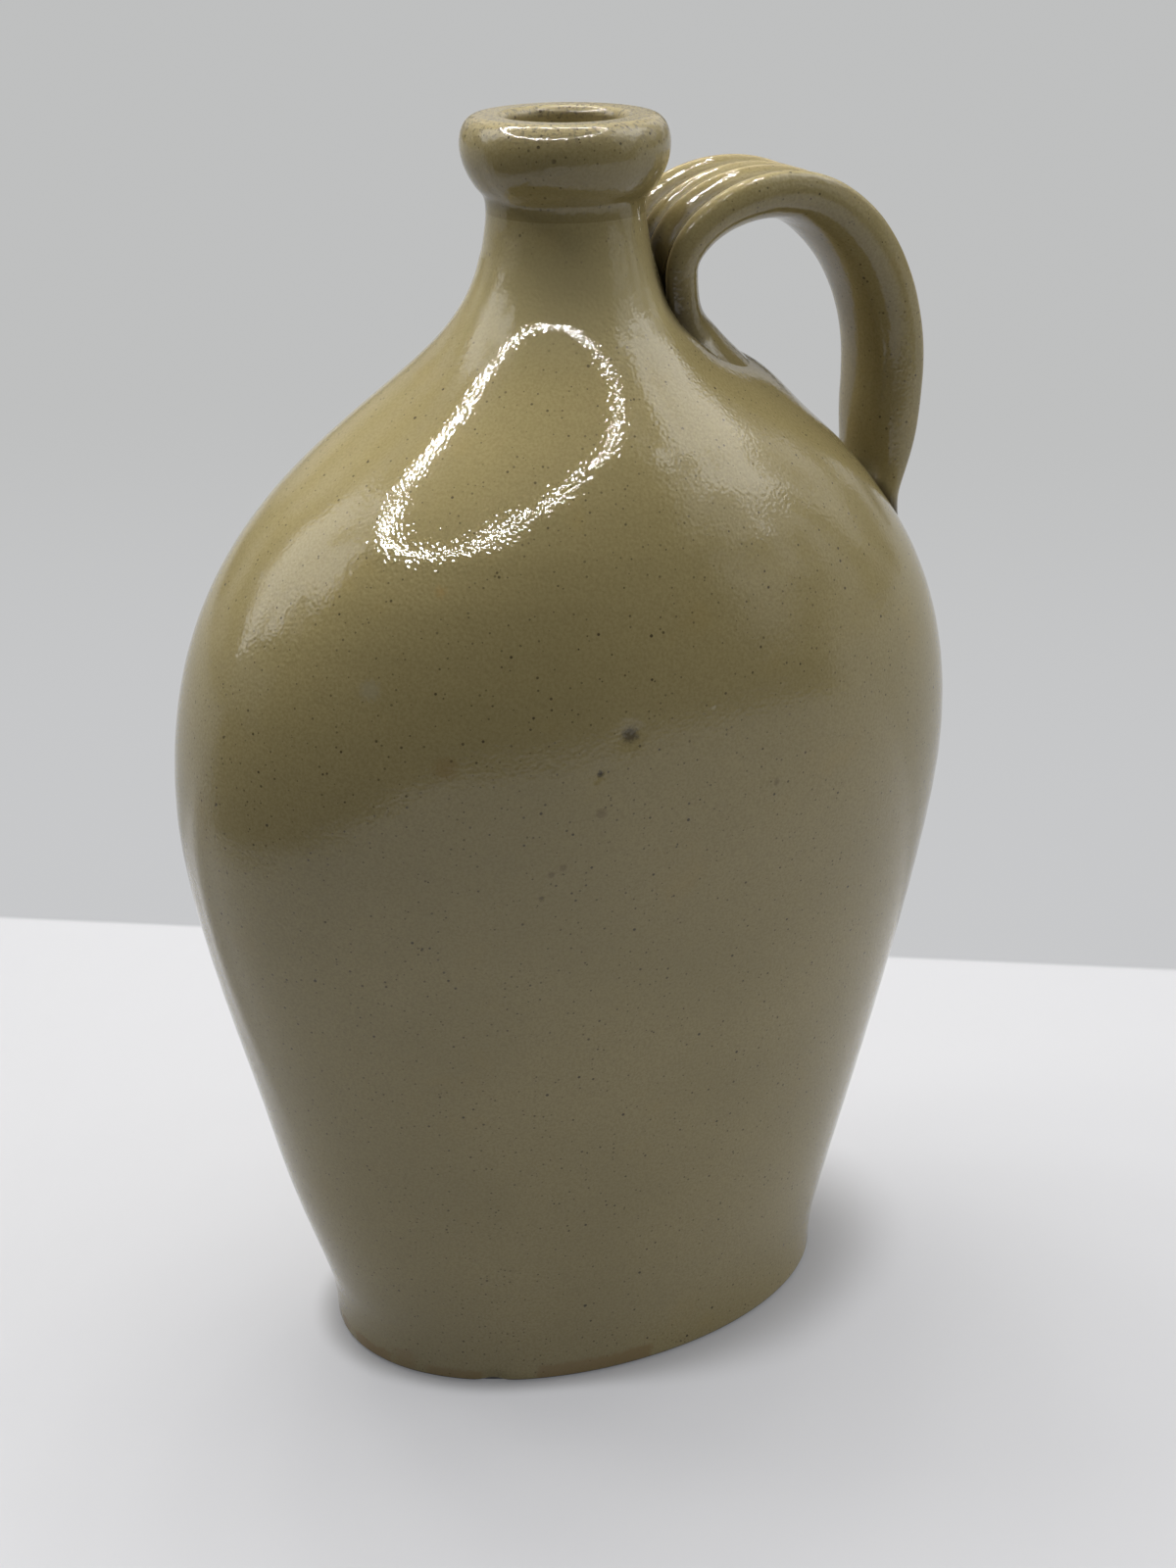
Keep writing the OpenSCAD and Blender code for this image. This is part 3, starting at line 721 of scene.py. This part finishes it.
def glaze(name, pale=0.0, marks=(), foot=False, rim=False, neck=False):
    """Glossy olive-ochre glaze with clouding, grain, iron specks, pooled glaze with painted shade in grooves and
    joints, thin crests with a painted highlight, painted light on the neck, painted shade under the lip and a painted
    shadow line along the foot.
    """
    material = bpy.data.materials.new(name)
    t = Tree(material)
    place = t.add("ShaderNodeTexCoord").outputs["Object"]
    place = t.add("ShaderNodeVectorMath", {0: place, 3: 1000.0}, operation="SCALE").outputs[0]
    cloud = t.range(t.noise(place, 0.022, 3.0), 0.3, 0.7)
    grain = t.range(t.noise(place, 1.7, 2.0), 0.34, 0.7)
    light = 1.0 + pale
    dark, bright = [(*(light * v for v in shade), 1) for shade in (GLAZE_DARK, GLAZE_LIGHT)]
    colour = t.mix(cloud, dark, bright)
    colour = t.mix(t.math("MULTIPLY", grain, 0.42), colour, GRAIN)
    ochre = t.range(t.noise(place, 0.06, 4.0), 0.58, 0.8, 0.0, 0.35)
    colour = t.mix(ochre, colour, OCHRE)

    def specks(scale, keep, small, large, strength, colour, where=1.0):
        """Colour with dark specks in some cells of a given scale, and where they show."""
        cells = t.add("ShaderNodeTexVoronoi", {"Vector": place, "Scale": scale, "Randomness": 1.0})
        chance = t.add("ShaderNodeSeparateColor", {0: cells.outputs["Color"]})
        size = t.range(chance.outputs[0], keep, 1.0, small, large)
        inside = t.math("SUBTRACT", size, cells.outputs["Distance"])
        shown = t.math("MULTIPLY", t.range(inside, 0.0, small * 0.7), t.math("GREATER_THAN", chance.outputs[0], keep))
        shown = t.math("MULTIPLY", shown, where)
        return t.mix(t.math("MULTIPLY", shown, strength), colour, SPECK), shown

    colour, _ = specks(0.8, 0.66, 0.14, 0.27, 0.55, colour)
    colour, _ = specks(0.45, 0.58, 0.10, 0.17, 0.75, colour)
    colour, large = specks(0.28, 0.56, 0.07, 0.125, 0.90, colour)
    axes = t.add("ShaderNodeSeparateXYZ", {0: place}).outputs
    if neck:
        # painted light: the neck paler from the root upwards, less so just under the lip
        from_root, from_lip = t.range(axes[2], 240.0, 256.0, 0.0, 0.8), t.range(axes[2], 272.0, 256.0, 0.25, 1.0)
        colour = t.mix(t.math("MULTIPLY", from_root, from_lip), colour, NECK_PAINTED_LIGHT)
    if rim:
        # painted shade on the lower part of the lip roll
        colour = t.mix(t.range(axes[2], 286.0, 280.0, 0.0, 0.4), colour, LIP_PAINTED_SHADE)
        ring = t.range(axes[2], 285.5, 290.0)
        colour = t.mix(t.math("MULTIPLY", ring, 0.3), colour, RIM_PALE)
        dots = t.range(t.noise(place, 1.15, 2.0), 0.54, 0.62)
        colour = t.mix(t.math("MULTIPLY", t.math("MULTIPLY", ring, dots), 0.6), colour, RIM_DOTS)
        colour, _ = specks(0.75, 0.35, 0.17, 0.32, 0.9, colour, t.range(axes[2], 284.0, 287.5))
    if foot:
        ragged = t.math("MULTIPLY_ADD", t.noise(place, 0.35, 3.0), 2.4, -1.2)
        along, upward = t.math("ADD", axes[0], ragged), t.math("ADD", axes[2], ragged)
        worn = t.math("MULTIPLY", t.range(t.noise(place, 0.075, 3.0), 0.50, 0.57), t.range(upward, 4.5, 3.5))
        shown = t.math("MULTIPLY", worn, t.range(axes[1], -25.0, -15.0, 0.0, 0.8))
        for start, end, top, strength in STAINS:
            inside = t.math("MULTIPLY", t.range(along, start - 1, start + 1), t.range(along, end + 1, end - 1))
            inside = t.math("MULTIPLY", inside, t.range(upward, top + 0.7, top - 0.7, 0.0, strength))
            inside = t.math("MULTIPLY", inside, t.math("LESS_THAN", axes[1], 0.0))
            shown = t.math("MAXIMUM", shown, inside)
        colour = t.mix(shown, colour, STAIN)
        across, deep = t.math("DIVIDE", axes[0], FOOT[0]), t.math("DIVIDE", axes[1], FOOT[1])
        spread = t.math("MULTIPLY_ADD", across, across, t.math("MULTIPLY", deep, deep))
        # painted shadow: a dark line along the lowest edge of the foot, where it meets the floor
        base_painted_shadow = t.math("MULTIPLY", t.range(axes[2], 1.1, 0.5, 0.0, 0.92), t.range(spread, 0.93, 0.95))
        colour = t.mix(base_painted_shadow, colour, BASE_PAINTED_SHADOW)
        bare = t.math("MULTIPLY", t.range(axes[2], 0.3, 0.1), t.range(spread, 0.95, 0.93))
        clay = t.mix(t.range(t.noise(place, 0.2, 4.0), 0.35, 0.65), CLAY_DARK, CLAY_LIGHT)
        colour = t.mix(bare, colour, clay)
    pool_and_shade = t.add("ShaderNodeAttribute", attribute_name="pool_and_shade").outputs["Fac"]
    thin = t.add("ShaderNodeAttribute", attribute_name="thin").outputs["Fac"]
    # pooled glaze with painted shade in joints, grooves and on the strap's inner face
    colour = t.mix(t.math("MULTIPLY", pool_and_shade, 0.9), colour, POOLED_AND_SHADE)
    # paler crests: thin glaze and a painted highlight
    colour = t.mix(t.math("MULTIPLY", thin, 0.55), colour, THIN_AND_HIGHLIGHT)
    for centre, size, tint, strength in marks:
        away = t.add("ShaderNodeVectorMath", {0: place, 1: centre}, operation="DISTANCE").outputs["Value"]
        rough_edge = t.math("MULTIPLY_ADD", t.noise(place, 1.6, 2.0), size * 0.8, away)
        colour = t.mix(t.range(rough_edge, size * 1.35, size * 0.75, 0.0, strength), colour, (*tint, 1))
    peel = t.noise(place, 0.55, 2.0, 0.55)
    fine = t.noise(place, 1.25, 0.0)
    height = t.math("MULTIPLY_ADD", peel, 0.25, fine)
    height = t.math("MULTIPLY_ADD", large, -0.2, height)
    bump = t.add("ShaderNodeBump", {"Strength": 1.0, "Distance": BUMP_HEIGHT, "Height": height}).outputs[0]
    rough = t.range(t.noise(place, 0.12, 3.0), 0.3, 0.7, 0.025, 0.05)
    if rim:
        rough = t.math("MAXIMUM", rough, RIM_ROUGHNESS)
    if foot:
        rough = t.math("MAXIMUM", rough, t.math("MULTIPLY", bare, CLAY_ROUGHNESS))
    inputs = {"Base Color": colour, "Roughness": rough, "Normal": bump, "IOR": 1.5}
    shader = t.add("ShaderNodeBsdfPrincipled", inputs)
    t.add("ShaderNodeOutputMaterial", {"Surface": shader.outputs[0]})
    return material


for piece, node, slot, material in (
    (foot_piece, "base_slab", "bare_clay", glaze("foot_glaze", foot=True)),
    (body_piece, "body_wall", "body_glaze", glaze("wall_glaze", marks=MARKS)),
    (neck_piece, "neck", "neck_glaze", glaze("tube_glaze", marks=NECK_MARKS, neck=True)),
    (lip_piece, "lip_ring", "lip_glaze", glaze("rim_glaze", marks=LIP_MARKS, rim=True)),
    (handle_piece, "handle", "handle_glaze", glaze("strap_glaze", pale=0.02)),
):
    piece.data.materials.append(material)
    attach(piece, "root")
    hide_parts(node)

# Stage: a pale floor under the flask, and a plain pale backdrop zone behind it
FLOOR_HALF = 6
BACK_X, BACK_Y = 0.507, 0.862
WALL_LINE, WALL_BLUR = 0.1725, 0.002
NEAR_TONE, WALL_LOW, WALL_HIGH = (0.60, 0.605, 0.63, 1), (0.575, 0.58, 0.59, 1), (0.52, 0.525, 0.525, 1)
PAPER_PALE, PAPER_TOOTH, PAPER_AWAY = (0.80, 0.80, 0.815, 1), (0.70, 0.70, 0.715, 1), (0.10, 0.10, 0.105, 1)
FLOOR_GLOW = 0.55
floor_mesh = bpy.data.meshes.new("floor")
corners = [(x * FLOOR_HALF, y * FLOOR_HALF, 0) for x, y in ((-1, -1), (1, -1), (1, 1), (-1, 1))]
floor_mesh.from_pydata(corners, [], [(0, 1, 2, 3)])
floor = bpy.data.objects.new("floor", floor_mesh)
bpy.context.scene.collection.objects.link(floor)
floor_material = bpy.data.materials.new("floor_paper")
t = Tree(floor_material)
place = t.add("ShaderNodeTexCoord").outputs["Object"]
axes = t.add("ShaderNodeSeparateXYZ", {0: place}).outputs
behind = t.math("MULTIPLY_ADD", axes[0], BACK_X, t.math("MULTIPLY", axes[1], BACK_Y))
# Beyond the sheet the floor is dark for reflections and bounced light, but pale for the camera
front = t.range(axes[1], -0.84, -0.50)
side = t.math("MULTIPLY", t.range(axes[0], -0.44, -0.30), t.range(axes[0], 0.85, 0.55))
sheet = t.math("MAXIMUM", t.math("MULTIPLY", front, side), t.range(behind, -0.1, 0.1))
path = t.add("ShaderNodeLightPath").outputs
sheet = t.math("MAXIMUM", sheet, path["Is Camera Ray"])
tooth = t.noise(place, 260.0, 3.0)
white = t.mix(t.math("MULTIPLY", tooth, 0.06), PAPER_PALE, PAPER_TOOTH)
colour = t.mix(sheet, PAPER_AWAY, white)
colour = t.mix(t.math("MULTIPLY", path["Is Diffuse Ray"], 0.62), colour, (0.05, 0.05, 0.05, 1))
paper = t.add("ShaderNodeBsdfPrincipled", {"Base Color": colour, "Roughness": 0.9})
seen = t.math("MAXIMUM", path["Is Glossy Ray"], path["Is Transmission Ray"])
seen = t.math("MAXIMUM", path["Is Camera Ray"], seen)
tone = t.mix(t.range(behind, 0.17, 0.9), WALL_LOW, WALL_HIGH)
is_far = t.range(behind, WALL_LINE - WALL_BLUR, WALL_LINE + WALL_BLUR)
tone = t.mix(is_far, NEAR_TONE, tone)
# The floor's own glow is painted darker towards the foot: a painted shadow round it that reaches further on the right
# side.
across, deep = t.math("DIVIDE", axes[0], FOOT[0] * MM), t.math("DIVIDE", axes[1], FOOT[1] * MM)
spread = t.math("SQRT", t.math("MULTIPLY_ADD", across, across, t.math("MULTIPLY", deep, deep)))
reach = t.range(axes[0], -0.03, 0.04, 1.12, 1.5)
backdrop = t.add("ShaderNodeEmission", {"Color": tone, "Strength": t.range(spread, 1.0, reach, 0.35, 1.0)})
pale = t.math("MULTIPLY", t.math("MULTIPLY", t.range(is_far, 0.0, 1.0, FLOOR_GLOW, 1.0), sheet), seen)
both = t.add("ShaderNodeMixShader", {0: pale, 1: paper.outputs[0], 2: backdrop.outputs[0]})
t.add("ShaderNodeOutputMaterial", {"Surface": both.outputs[0]})
floor.data.materials.append(floor_material)

# Lights: a soft lamp high above, a ring of small lamps that gives the gloss its bright loop, and a dim room
KEY_TINT, RING_TINT = (1.0, 0.99, 0.965), (1.0, 0.985, 0.955)
KEY_DISTANCE, KEY_SIZE, KEY_POWER = 1.9, 1.3, 15.0
RING_LAMPS, RING_SIZE, RING_POWER = 84, 0.016, 0.18
BACK_LAMPS, BACK_SIZE, BACK_POWER, BACK_TURN = 8, 0.12, 0.75, 80


def round_lamp(name, place, way, size, energy, colour):
    """Round area lamp at a place, turned so that it shines against the given way."""
    lamp = bpy.data.lights.new(name, "AREA")
    lamp.shape, lamp.size, lamp.energy, lamp.color = "DISK", size, energy, colour
    holder = bpy.data.objects.new(name, lamp)
    holder.location = place
    holder.rotation_euler = way.to_track_quat("Z", "Y").to_euler()
    bpy.context.scene.collection.objects.link(holder)
    return holder


KEY_WAY = Vector((-0.02, 0.14, 1.0)).normalized()
key = round_lamp("key", KEY_WAY * KEY_DISTANCE, KEY_WAY, KEY_SIZE, KEY_POWER, KEY_TINT)
key.visible_glossy = False
RING_CENTRE, RING_RADIUS = Vector((-0.036, -0.101, 0.894)), 0.442
RING_WAY = Vector((-0.555, 0.101, 1.0)).normalized()
BACKWARD = Vector((BACK_X, BACK_Y, 0.0))
ring_back = (BACKWARD - RING_WAY * BACKWARD.dot(RING_WAY)).normalized()
ring_side = RING_WAY.cross(ring_back)


def on_ring(turn):
    """Place on the lamp ring, with turn 0 at its back."""
    return RING_CENTRE + (ring_back * math.cos(turn) + ring_side * math.sin(turn)) * RING_RADIUS


for k in range(RING_LAMPS):
    turn = 2 * math.pi * k / RING_LAMPS
    holder = round_lamp(f"ring_{k:02d}", on_ring(turn), RING_WAY, RING_SIZE, RING_POWER, RING_TINT)
    holder.visible_diffuse = False
# The back half of the ring also lights the flask softly
for k, turn in enumerate(np.radians(np.linspace(-BACK_TURN, BACK_TURN, BACK_LAMPS))):
    holder = round_lamp(f"back_{k}", on_ring(turn), RING_WAY, BACK_SIZE, BACK_POWER, RING_TINT)
    holder.visible_glossy = False
# Room: pale to the left, right and back of the flask, dark towards the camera, dim overhead
world = bpy.data.worlds.new("room")
bpy.context.scene.world = world
t = Tree(world)
path = t.add("ShaderNodeLightPath").outputs
way = t.add("ShaderNodeTexCoord").outputs["Generated"]
axes = t.add("ShaderNodeSeparateXYZ", {0: way}).outputs
forward = t.math("MULTIPLY_ADD", axes[0], -BACK_X, t.math("MULTIPLY", axes[1], -BACK_Y))
level = t.math("SQRT", t.math("MULTIPLY_ADD", axes[0], axes[0], t.math("MULTIPLY", axes[1], axes[1])))
turned = t.math("DIVIDE", forward, t.math("MAXIMUM", level, 0.01))
to_right = t.math("MULTIPLY_ADD", axes[0], BACK_Y, t.math("MULTIPLY", axes[1], -BACK_X))
turned = t.math("MULTIPLY_ADD", t.noise(way, 3.2, 2.0), 0.24, t.math("SUBTRACT", turned, 0.12))
turned = t.math("MULTIPLY_ADD", t.range(to_right, 0.3, -0.5, 0.0, 0.2), path["Is Diffuse Ray"], turned)
walls = t.math("MULTIPLY", t.range(turned, 0.47, 0.31), t.range(axes[2], 0.97, 0.88))
patches = t.range(t.noise(way, 4.6, 2.0), 0.43, 0.57, -0.7, 0.5)
walls = t.math("MULTIPLY", walls, t.math("MULTIPLY_ADD", patches, path["Is Glossy Ray"], 0.9))
wall_tone = t.mix(t.range(to_right, -0.2, 0.4), (0.60, 0.60, 0.61, 1), (0.95, 0.95, 0.96, 1))
wall_tone = t.mix(t.range(axes[2], -0.1, 0.5, 0.62, 0.0), wall_tone, (0.04, 0.04, 0.04, 1))
colour = t.mix(t.range(to_right, -0.6, 0.6), (0.08, 0.08, 0.08, 1), (0.25, 0.25, 0.25, 1))
colour = t.mix(path["Is Glossy Ray"], colour, (0.04, 0.04, 0.042, 1))
colour = t.mix(t.range(axes[2], 0.5, 0.85), colour, (0.16, 0.16, 0.16, 1))
colour = t.mix(walls, colour, wall_tone)
# Two brighter patches of the room's sides, seen only in the gloss
PANELS = [((0.74, -0.20, 0.65), 0.93, 0.96, 3.2), ((-0.70, 0.42, 0.55), 0.935, 0.965, 2.6)]
for facing, edge, full, tone in PANELS:
    both = {0: way, 1: Vector(facing).normalized()}
    near = t.add("ShaderNodeVectorMath", both, operation="DOT_PRODUCT").outputs["Value"]
    near = t.math("MULTIPLY_ADD", t.noise(way, 6.0, 2.0), 0.28, t.math("SUBTRACT", near, 0.14))
    shown = t.math("MULTIPLY", t.range(near, edge, full), path["Is Glossy Ray"])
    colour = t.mix(shown, colour, (tone, tone, tone, 1))
colour = t.mix(path["Is Camera Ray"], colour, (0.52, 0.525, 0.53, 1))
t.add("ShaderNodeOutputWorld", {"Surface": t.add("ShaderNodeBackground", {"Color": colour}).outputs[0]})

# Camera at the photograph's viewing angle, for an image of 1200 by 1600
camera_data = bpy.data.cameras.new("camera")
camera_data.sensor_width, camera_data.lens = 36.0, 49.5
camera_data.clip_start, camera_data.clip_end = 0.01, 50
camera = bpy.data.objects.new("camera", camera_data)
bpy.context.scene.collection.objects.link(camera)
DISTANCE, HEIGHT = 0.46385, 0.34896
PITCH, TURN, ROLL, PAN = [math.radians(v) for v in (24.473, 23.714, -0.494, 0.448)]
eye = Vector((-math.sin(TURN) * DISTANCE, -math.cos(TURN) * DISTANCE, HEIGHT))
facing = TURN + PAN
ahead = Vector((math.sin(facing) * math.cos(PITCH), math.cos(facing) * math.cos(PITCH), -math.sin(PITCH)))
level = ahead.cross(Vector((0, 0, 1))).normalized()
upright = level.cross(ahead)
to_right = level * math.cos(ROLL) + upright * math.sin(ROLL)
to_top = upright * math.cos(ROLL) - level * math.sin(ROLL)
camera.matrix_world = Matrix.Translation(eye) @ Matrix((to_right, to_top, -ahead)).transposed().to_4x4()
bpy.context.scene.camera = camera
bpy.context.scene.view_settings.view_transform = "Standard"
